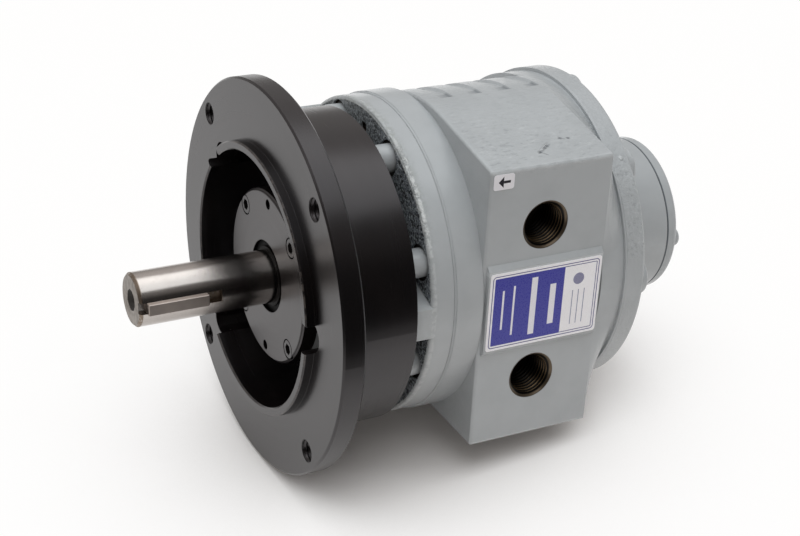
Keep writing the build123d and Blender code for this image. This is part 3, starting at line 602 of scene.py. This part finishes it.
def ground_steel(name, stains=None, dark=None, dull=None):
    """Steel ground round the shaft's axis. stains is where it is brown, dark where painted shade makes it
    near black, and dull where it is faced."""
    f = Finish(name)
    marks = f.noise(1.0, 3, 0.6, f.turned(0.12 * MM, 2.2))
    broad = f.noise(14 * MM, 3, 0.6)
    colour = f.mix(broad, STEEL_LOW, STEEL_HIGH)
    rough = f.add(f.times(marks, 0.08), f.blend(broad, 0.12, 0.19))
    spots = f.step(f.noise(2.2 * MM, 4, 0.7), 0.6, 0.7)
    colour = f.mix(f.times(spots, 0.3), colour, STEEL_SPOT)
    if stains:
        brown = f.times(f.times(stains(f), 0.75), f.step(f.noise(1.5 * MM, 3, 0.6), 0.22, 0.5))
        colour = f.mix(brown, colour, STAIN)
        rough = f.blend(brown, rough, 0.5)
    if dull:
        faced = dull(f)
        smudge = f.step(f.noise(3.2 * MM, 3, 0.6), 0.35, 0.65)
        colour = f.mix(faced, colour, f.mix(smudge, FACED_LIGHT, FACED_DARK))
        rough = f.blend(faced, rough, 0.38)
    metal, gloss = 1.0, 0.5
    # Painted shade: near black, not metal and with little gloss
    if dark:
        in_shade = dark(f)
        colour = f.mix(in_shade, colour, STEEL_SHADE)
        rough = f.blend(in_shade, rough, 0.5)
        metal = f.without(in_shade)
        gloss = f.blend(in_shade, 0.5, 0.05)
    around = f.node("ShaderNodeTangent", direction_type="RADIAL", axis="X").outputs[0]
    return f.set(
        colour=colour, rough=rough, metal=metal, gloss=gloss, normal=f.bump(marks, 0.0012 * MM),
        drawn=0.4, drawn_turn=0.25, tangent=around,
    )


def shaft_dark(f):
    """Painted shade on the shoulder inside the seal cap's eye, and in the centre hole in the tip."""
    shoulder = f.within(f.x, *SHAFT_SHOULDER, 0.03 * MM)
    behind_face = f.within(f.x, CENTRE_HOLE_START, SHAFT_FACE, 0.05 * MM)
    centre_hole = f.times(f.fall(f.radius(), *CENTRE_HOLE_R), behind_face)
    return f.most(shoulder, f.times(centre_hole, 0.9))


def shaft_tip(f):
    """The faced end of the shaft."""
    return f.times(f.step(f.x, SHAFT_FACE, SHAFT_FACE + 0.1 * MM), f.fall(f.radius(), *TIP_FACE_R))


def shaft_stains(f):
    """Brown stains on the bevel of the tip and at the inner end of the keyway."""
    tip = f.times(f.step(f.x, *TIP_BEVEL_X), f.step(f.radius(), *TIP_BEVEL_R))
    in_keyway = f.times(f.step(f.y, *KEYWAY_FLOOR), f.within(f.z, *KEYWAY_SIDES))
    return f.most(tip, f.times(f.within(f.x, *KEYWAY_END), in_keyway))


# Plain finishes
def plain_metal(name, base, rough):
    f = Finish(name)
    grain = f.noise(0.8 * MM, 3, 0.6)
    broad = f.noise(9 * MM, 2, 0.5)
    darker = tuple(0.8 * v for v in base)
    return f.set(
        colour=f.mix(broad, screen(*base), screen(*darker)),
        rough=f.add(f.times(grain, 0.1), rough - 0.05),
        metal=1.0,
        normal=f.bump(grain, 0.003 * MM),
    )


def rubber(name):
    f = Finish(name)
    grain = f.noise(0.7 * MM, 3, 0.6)
    return f.set(
        colour=f.mix(grain, screen(10, 10, 10), screen(18, 18, 18)),
        rough=f.add(f.times(grain, 0.2), 0.6),
        gloss=0.15,
        normal=f.bump(grain, 0.02 * MM),
    )


def composite(name):
    f = Finish(name)
    weave = f.noise(1.2 * MM, 3, 0.6)
    return f.set(
        colour=f.mix(weave, screen(96, 70, 44), screen(118, 90, 58)),
        rough=f.blend(weave, 0.5, 0.65),
        normal=f.bump(weave, 0.02 * MM),
    )


def threaded_iron(name):
    """Brown iron of the port threads, with painted shade darkening their grooves and the deeper part of
    each port, and paler on the bevel of the mouth.
    """
    f = Finish(name)
    grain = f.noise(1.4 * MM, 3, 0.6)
    # Painted shade: darker deeper in the port, and near black in the grooves between the crests
    shallow = f.step(f.y, PORT_FACE - 12 * MM, PORT_FACE - MM, 0.12, 1.0)
    crest = f.most(*[f.crest(port) for port in PORTS])
    bevel = f.without(f.most(*[f.inner(port) for port in PORTS]))
    iron = f.mix(grain, screen(96, 76, 52), screen(158, 134, 102))
    iron = f.mix(f.times(shallow, crest), screen(8, 7, 6), iron)
    return f.set(
        colour=f.mix(f.times(bevel, 0.8), iron, screen(112, 98, 82)),
        rough=f.blend(grain, 0.26, 0.4),
        metal=0.8,
        normal=f.bump(grain, 0.02 * MM),
    )


# Print on the label, in millimetres. Edge distances of the frame line and of the printed area, and the
# end of the blue field from the front
LABEL_CORNER_R = 2.6
LABEL_LINE = (1.05, 1.45)
LABEL_PRINT = 2.15
LABEL_PRINT_LINE = 2.5
LABEL_FIELD_END = 34.9
# Plain bars on the blue field: start from the front end, thickness, and span along Z
LABEL_BARS = (
    (6.0, 0.9, -8.2, 9.4), (11.0, 0.9, -11.5, 10.7), (19.4, 2.8, -12.9, 12.9), (28.4, 2.8, -9.8, 8.4),
)
# Thin rules on the white field: starts from the front end, thickness, and span along Z
LABEL_RULES = (39.4, 42.2, 45.0)
LABEL_RULE_THICK = 0.4
LABEL_RULE_SPAN = (-12.0, 3.6)
# Disc on the white field: from the front end, Z, and radius
LABEL_DISC = (41.9, 8.6, 2.6)
LABEL_WHITE = screen(253, 252, 255)
LABEL_BLUE = screen(64, 65, 164)
LABEL_LINE_BLUE = screen(88, 88, 140)


def printed_label(name):
    """White plate with a thin blue frame, a blue field with plain white bars, and a white field."""
    f = Finish(name)
    soft = 0.05 * MM
    low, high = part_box("nameplate")
    from_front = f.less(high.x, f.x)
    ends = f.least(from_front, f.less(f.x, low.x))
    sides = f.least(f.less(high.z, f.z), f.less(f.z, low.z))
    corner_r = LABEL_CORNER_R * MM
    past_ends = f.most(f.less(corner_r, ends), 0.0)
    past_sides = f.most(f.less(corner_r, sides), 0.0)
    edge = f.least(ends, sides, f.less(corner_r, f.length(past_ends, past_sides)))
    line = f.within(edge, LABEL_LINE[0] * MM, LABEL_LINE[1] * MM, soft)
    printed = f.step(edge, LABEL_PRINT * MM - soft, LABEL_PRINT * MM + soft)
    field = f.times(printed, f.fall(from_front, LABEL_FIELD_END * MM - soft, LABEL_FIELD_END * MM + soft))
    inner_line = f.times(f.within(edge, LABEL_PRINT * MM, LABEL_PRINT_LINE * MM, soft), f.without(field))

    def bar(start, thick, low_z, high_z):
        column = f.within(from_front, start * MM, (start + thick) * MM, soft)
        return f.times(column, f.within(f.z, low_z * MM, high_z * MM, soft))

    bars = f.most(*[bar(*sizes) for sizes in LABEL_BARS])
    rules = f.most(*[bar(start, LABEL_RULE_THICK, *LABEL_RULE_SPAN) for start in LABEL_RULES])
    start, disc_z, disc_r = LABEL_DISC
    disc = f.distance(from_front, start * MM, f.z, disc_z * MM)
    rules = f.most(rules, f.fall(disc, disc_r * MM - soft, disc_r * MM + soft))
    colour = f.mix(f.most(line, inner_line), LABEL_WHITE, LABEL_LINE_BLUE)
    colour = f.mix(f.times(rules, 0.8), colour, LABEL_LINE_BLUE)
    colour = f.mix(field, colour, LABEL_BLUE)
    colour = f.mix(f.times(bars, f.times(field, 0.9)), colour, LABEL_WHITE)
    print_grain = f.noise(0.5 * MM, 2, 0.5)
    return f.set(
        colour=colour,
        rough=f.blend(print_grain, 0.24, 0.32),
        normal=f.bump(print_grain, 0.004 * MM, f.soft_edges(0.15 * MM)),
    )


def printed_tag(name):
    """White tag with a plain dark arrow."""
    f = Finish(name)
    low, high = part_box("corner_tag")
    mid = (low + high) / 2
    soft = 0.04 * MM
    head = 0.2 * MM
    u = f.less(f.x, mid.x)
    v = f.math("ABSOLUTE", f.less(f.z, mid.z))
    stem = f.times(f.within(u, -2.9 * MM, head, soft), f.fall(v, 0.5 * MM, 0.6 * MM))
    tip = f.times(f.step(u, head - soft, head + soft), f.fall(f.add(v, u), 2.5 * MM, 2.6 * MM))
    grain = f.noise(0.5 * MM, 2, 0.5)
    return f.set(
        colour=f.mix(f.most(stem, tip), screen(238, 237, 241), screen(38, 36, 44)),
        rough=f.blend(grain, 0.3, 0.38),
        normal=f.bump(grain, 0.004 * MM),
    )


# Finishes on the CAD nodes. Marks and scratches are in millimetres
PLATE_MARKS = ((-47.9, 18.9, 62.6, 1.5, True), (-47.9, 24.4, 60.4, 1.1, True))
REAR_MARKS = ((-139.7, 43.2, 50.9, 1.0, False), (-143.6, 44.2, 49.9, 1.4, True))
BLOCK_MARKS = (
    (-97.5, 52.9, 62.3, 0.9, False), (-99.4, 51.8, 62.5, 0.8, True), (-101.0, 50.8, 62.7, 0.8, False),
    (-102.6, 49.7, 62.9, 0.9, False), (-111.1, 45.8, 63.7, 0.9, False), (-114.4, 46.6, 63.5, 0.9, False),
)
BLOCK_SCRATCHES = (
    ((-96.0, 54.4, 61.9), (-104.6, 48.6, 63.2), 0.5, False),
    ((-97.0, 52.2, 62.4), (-99.8, 55.6, 61.7), 0.45, False),
    ((-96.4, 53.0, 62.2), (-104.0, 47.6, 63.4), 0.4, True),
    ((-110.0, 46.0, 63.7), (-115.4, 46.8, 63.5), 0.4, False),
)
adaptor_finish = blackened("adaptor_black", worn=pilot_wear)
screw_finish = blackened("dark_screws", turned=False, base=(22, 21, 20), rough=0.3)
body_finish = painted(
    "grey_paint_body", cast=body_cast, bare=body_bare, flecked=body_flecked, shade=groove_shade,
    lit_edge=body_edge_highlight, marks=BLOCK_MARKS, scratches=BLOCK_SCRATCHES, streak=0.4,
)
finishes = {
    "adaptor": adaptor_finish,
    "adaptor_screws": screw_finish,
    "seal_cap": blackened("cap_metal", base=(26, 23, 22), gloss=0.82, rough=0.34, hole_shade=cap_pockets),
    "seal_cap_screws": screw_finish,
    "shaft_seal": rubber("seal_rubber"),
    "drive_end_plate": painted(
        "grey_paint_front", rough_area=recess, bare=plate_bare, edge_wear_and_highlight=plate_edge, flecked=plate_flecked,
        marks=PLATE_MARKS,
    ),
    "body": body_finish,
    "dead_end_plate": painted(
        "grey_paint_rear", cast=rear_cast, edge_wear_and_highlight=rear_edge, flecked=rear_flecked, shade=cap_seam,
        marks=REAR_MARKS,
    ),
    "rear_cap": painted("grey_paint_cap", shade=cap_seam),
    "front_body_screws": painted("painted_screws"),
    "rear_body_screws": painted("painted_rear_screws"),
    "rear_cap_screws": painted("painted_cap_screws"),
    "shaft": ground_steel("shaft_steel", stains=shaft_stains, dark=shaft_dark, dull=shaft_tip),
    "shaft_key": plain_metal("key_steel", (192, 180, 172), 0.3),
    "rotor": plain_metal("rotor_iron", (120, 118, 116), 0.4),
    "nameplate": printed_label("nameplate_print"),
    "corner_tag": printed_tag("tag_print"),
}
bearing_finish = ground_steel("bearing_steel")
vane_finish = composite("vane_composite")
for name, node in nodes.items():
    finish = vane_finish if name.startswith("vane_") else finishes.get(name, bearing_finish)
    node.data.materials.clear()
    node.data.materials.append(finish)


# Added pieces
def piece_of_rings(name, mesh, rings):
    """Smooth piece whose faces join each ring of points to the next, and the last ring to the first."""
    around = len(rings[0])
    for first, second in zip(rings, rings[1:] + rings[:1]):
        for j in range(around):
            k = (j + 1) % around
            mesh.faces.new((first[j], first[k], second[k], second[j]))
    bmesh.ops.recalc_face_normals(mesh, faces=mesh.faces)
    data = bpy.data.meshes.new(name)
    mesh.to_mesh(data)
    mesh.free()
    for face in data.polygons:
        face.use_smooth = True
    piece = bpy.data.objects.new(name, data)
    bpy.context.scene.collection.objects.link(piece)
    return piece


def thread_piece(name, mouth, across_a, across_b, inward, hole_r, pitch, turns_deep, flare=0.0):
    """Ring of wall whose inner side is a helical ridge. mouth is the centre of the hole's edge, inward
    points into it, and flare is how deep its bevel goes."""
    around, per_pitch = 72, 8
    rows = int(turns_deep * per_pitch)
    ridge_depth = 0.43 * pitch
    ridge_half = 0.42
    mesh = bmesh.new()

    def ring(radius, depth):
        made = []
        for j in range(around):
            a = 2 * math.pi * j / around
            across = across_a * math.cos(a) + across_b * math.sin(a)
            made.append(mesh.verts.new(mouth + inward * depth + across * radius(j / around)))
        return made

    def wall(depth):
        return hole_r + max(0.0, flare - depth) * 0.98

    def ridge(depth):
        fade = min(1.0, depth / pitch)

        def radius(turn):
            phase = (depth / pitch + turn) % 1.0
            crest = max(0.0, 1 - abs(phase - 0.5) / ridge_half) * fade
            return wall(depth) - 0.07 * MM - ridge_depth * crest
        return radius

    rings = [ring(ridge(i * pitch / per_pitch), i * pitch / per_pitch) for i in range(rows + 1)]
    deepest = rows * pitch / per_pitch
    for depth in sorted({deepest, flare, 0.0}, reverse=True):
        rings.append(ring(lambda turn, depth=depth: wall(depth) - 0.02 * MM, depth))
    return piece_of_rings(name, mesh, rings)


def turned_ring(name, profile, centre_y):
    """Ring turned round a line along X. The profile is a closed row of x and radius."""
    around = 160
    angles = [2 * math.pi * j / around for j in range(around)]
    mesh = bmesh.new()
    rings = [
        [mesh.verts.new((x, centre_y + r * math.cos(a), r * math.sin(a))) for a in angles]
        for x, r in profile
    ]
    return piece_of_rings(name, mesh, rings)


ALONG_X, ALONG_Y, ALONG_Z = Vector((1, 0, 0)), Vector((0, 1, 0)), Vector((0, 0, 1))
thread_finish = threaded_iron("threaded_iron")
for i, port in enumerate(PORTS):
    mouth = Vector((port.x, PORT_FACE - 0.1 * MM, port.z))
    piece = thread_piece(
        "port_thread_" + str(i + 1), mouth, ALONG_X, ALONG_Z, -ALONG_Y, PORT_R, PORT_PITCH, turns_deep=9,
        flare=1.3 * MM,
    )
    piece.data.materials.append(thread_finish)
    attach(piece, "housing")
for i in range(4):
    turn = math.radians(45 + 90 * i)
    mouth = Vector((-0.2 * MM, BOLT_CIRCLE_R * math.cos(turn), BOLT_CIRCLE_R * math.sin(turn)))
    piece = thread_piece(
        "bolt_thread_" + str(i + 1), mouth, ALONG_Y, ALONG_Z, -ALONG_X, BOLT_R, BOLT_PITCH, turns_deep=5.5,
    )
    piece.data.materials.append(adaptor_finish)
    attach(piece, "housing")

# Paint that lies in the step between the drive end plate and the body
SEAM_R = 0.0677
step_profile = [
    (BODY_FRONT - 0.02 * MM, SEAM_R), (BODY_FRONT - 0.02 * MM, SEAM_R + 0.64 * MM),
    (BODY_FRONT + 0.35 * MM, SEAM_R + 0.38 * MM), (BODY_FRONT + MM, SEAM_R + 0.02 * MM),
    (BODY_FRONT + MM, SEAM_R),
]
piece = turned_ring("seam_paint", step_profile, CASING_Y)
piece.data.materials.append(body_finish)
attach(piece, "housing")

# Floor: the motor lies on the rims of its flange and its dead end plate, so the floor leans
FLOOR_TILT = math.radians(5.35)
FLOOR_LEAN = math.radians(87.1)
FLOOR_DROP = 0.08308
FLOOR_REACH = 6.0
across_tilt = math.cos(FLOOR_TILT)
up = Vector((math.sin(FLOOR_TILT), across_tilt * math.cos(FLOOR_LEAN), across_tilt * math.sin(FLOOR_LEAN)))
side = up.cross(ALONG_Y).normalized()
front = up.cross(side)
corners = [
    up * -FLOOR_DROP + side * FLOOR_REACH * a + front * FLOOR_REACH * b
    for a, b in ((-1, -1), (1, -1), (1, 1), (-1, 1))
]
floor_data = bpy.data.meshes.new("floor")
floor_data.from_pydata(corners, [], [(0, 1, 2, 3)])
floor = bpy.data.objects.new("floor", floor_data)
bpy.context.scene.collection.objects.link(floor)

# The camera and mirrors see the floor plain white, but for the shade close to the motor
f = Finish("floor_white")
f.set(colour=(0.86, 0.825, 0.80, 1), rough=0.9, gloss=0.1)


def glow(colour, strength):
    made = f.node("ShaderNodeEmission")
    made.inputs["Color"].default_value = colour
    made.inputs["Strength"].default_value = strength
    return made.outputs[0]


def either(share, a, b):
    """Shader a where share is 0, and shader b where it is 1."""
    made = f.node("ShaderNodeMixShader")
    f.feed(share, made.inputs[0])
    f.feed(a, made.inputs[1])
    f.feed(b, made.inputs[2])
    return made.outputs[0]


ray = f.node("ShaderNodeLightPath").outputs
clear = f.node("ShaderNodeAmbientOcclusion", samples=8)
clear.inputs["Distance"].default_value = 0.22
open_floor = f.step(clear.outputs["AO"], 0.22, 0.9)
shown = f.most(ray["Is Camera Ray"], ray["Is Glossy Ray"])
lit = either(f.times(open_floor, shown, 0.96), f.shader.outputs[0], glow((1.0, 0.996, 0.992, 1), 1.01))
# In a mirror the table ends a hand's breadth in front of the motor
past_table = f.times(f.step(f.y, 0.15, 0.28), ray["Is Glossy Ray"])
f.feed(either(past_table, lit, glow((1, 1, 1, 1), 0.03)), f.out.inputs["Surface"])
floor_data.materials.append(f.material)

# Studio: a dim pale room, white where the camera looks at it, and in mirrors darker toward +Y
world = bpy.data.worlds.new("studio")
bpy.context.scene.world = world
world.use_nodes = True
tree = world.node_tree
tree.nodes.clear()


def world_node(kind, **settings):
    made = tree.nodes.new(kind)
    for key, value in settings.items():
        setattr(made, key, value)
    return made


def world_mix(share, a, b):
    made = world_node("ShaderNodeMix", data_type="FLOAT")
    for value, socket in zip((share, a, b), (made.inputs[0], made.inputs[2], made.inputs[3])):
        if isinstance(value, bpy.types.NodeSocket):
            tree.links.new(value, socket)
        else:
            socket.default_value = value
    return made.outputs[0]


def world_step(value, low, high):
    made = world_node("ShaderNodeMapRange", interpolation_type="SMOOTHSTEP")
    tree.links.new(value, made.inputs["Value"])
    made.inputs["From Min"].default_value = low
    made.inputs["From Max"].default_value = high
    return made.outputs["Result"]


direction = world_node("ShaderNodeSeparateXYZ")
tree.links.new(world_node("ShaderNodeTexCoord").outputs["Generated"], direction.inputs[0])
toward_y, toward_z = direction.outputs[1], direction.outputs[2]
rays = world_node("ShaderNodeLightPath").outputs
AMBIENT = 0.38
walls = world_mix(world_step(toward_y, -0.35, 0.45), 0.42, 0.03)
ceiling = world_mix(world_step(toward_y, -0.2, 0.4), 0.6, 0.16)
mirrored = world_mix(world_step(toward_z, 0.3, 0.6), walls, ceiling)
seen = world_mix(rays["Is Camera Ray"], world_mix(rays["Is Glossy Ray"], AMBIENT, mirrored), 1.0)
tinted = world_node("ShaderNodeMix", data_type="RGBA")
tinted.inputs[6].default_value = (1.0, 0.955, 0.93, 1)
tinted.inputs[7].default_value = (1.0, 1.0, 1.0, 1)
tree.links.new(rays["Is Camera Ray"], tinted.inputs[0])
background = world_node("ShaderNodeBackground")
tree.links.new(tinted.outputs[2], background.inputs["Color"])
tree.links.new(seen, background.inputs["Strength"])
tree.links.new(background.outputs[0], world_node("ShaderNodeOutputWorld").inputs[0])

# One large softbox overhead, aimed at the middle of the motor
KEY_PLACE, MOTOR_MIDDLE = Vector((0.08, 0.12, 1.2)), Vector((-0.07, 0, 0))
key_data = bpy.data.lights.new("key", "AREA")
key_data.shape = "RECTANGLE"
key_data.size, key_data.size_y = 1.9, 1.8
key_data.energy = 14.4
key_data.color = (0.935, 0.975, 1.0)
key = bpy.data.objects.new("key", key_data)
bpy.context.scene.collection.objects.link(key)
key.location = KEY_PLACE
key.rotation_mode = "QUATERNION"
key.rotation_quaternion = (MOTOR_MIDDLE - KEY_PLACE).to_track_quat("-Z", "Y")

# Camera, fitted to the photograph. The focal length is in its pixels, and the film is 36 mm wide
FILM_WIDTH = 36.0
FOCAL_PIXELS, PHOTO_WIDTH = 1666.35, 800
camera_data = bpy.data.cameras.new("camera")
camera_data.sensor_width = FILM_WIDTH
camera_data.lens = FOCAL_PIXELS / PHOTO_WIDTH * FILM_WIDTH
camera_data.clip_start = 0.05
camera_data.clip_end = 30
camera = bpy.data.objects.new("camera", camera_data)
bpy.context.scene.collection.objects.link(camera)
camera.matrix_world = Matrix.Translation((0.24230374, 0.56339474, 0.30755714)) @ Matrix((
    (-0.88747111, -0.16135767, 0.43169287),
    (0.4580114, -0.4128459, 0.78726349),
    (0.05119162, 0.89639387, 0.44029246),
)).to_4x4()
bpy.context.scene.camera = camera
bpy.context.scene.view_settings.view_transform = "Standard"
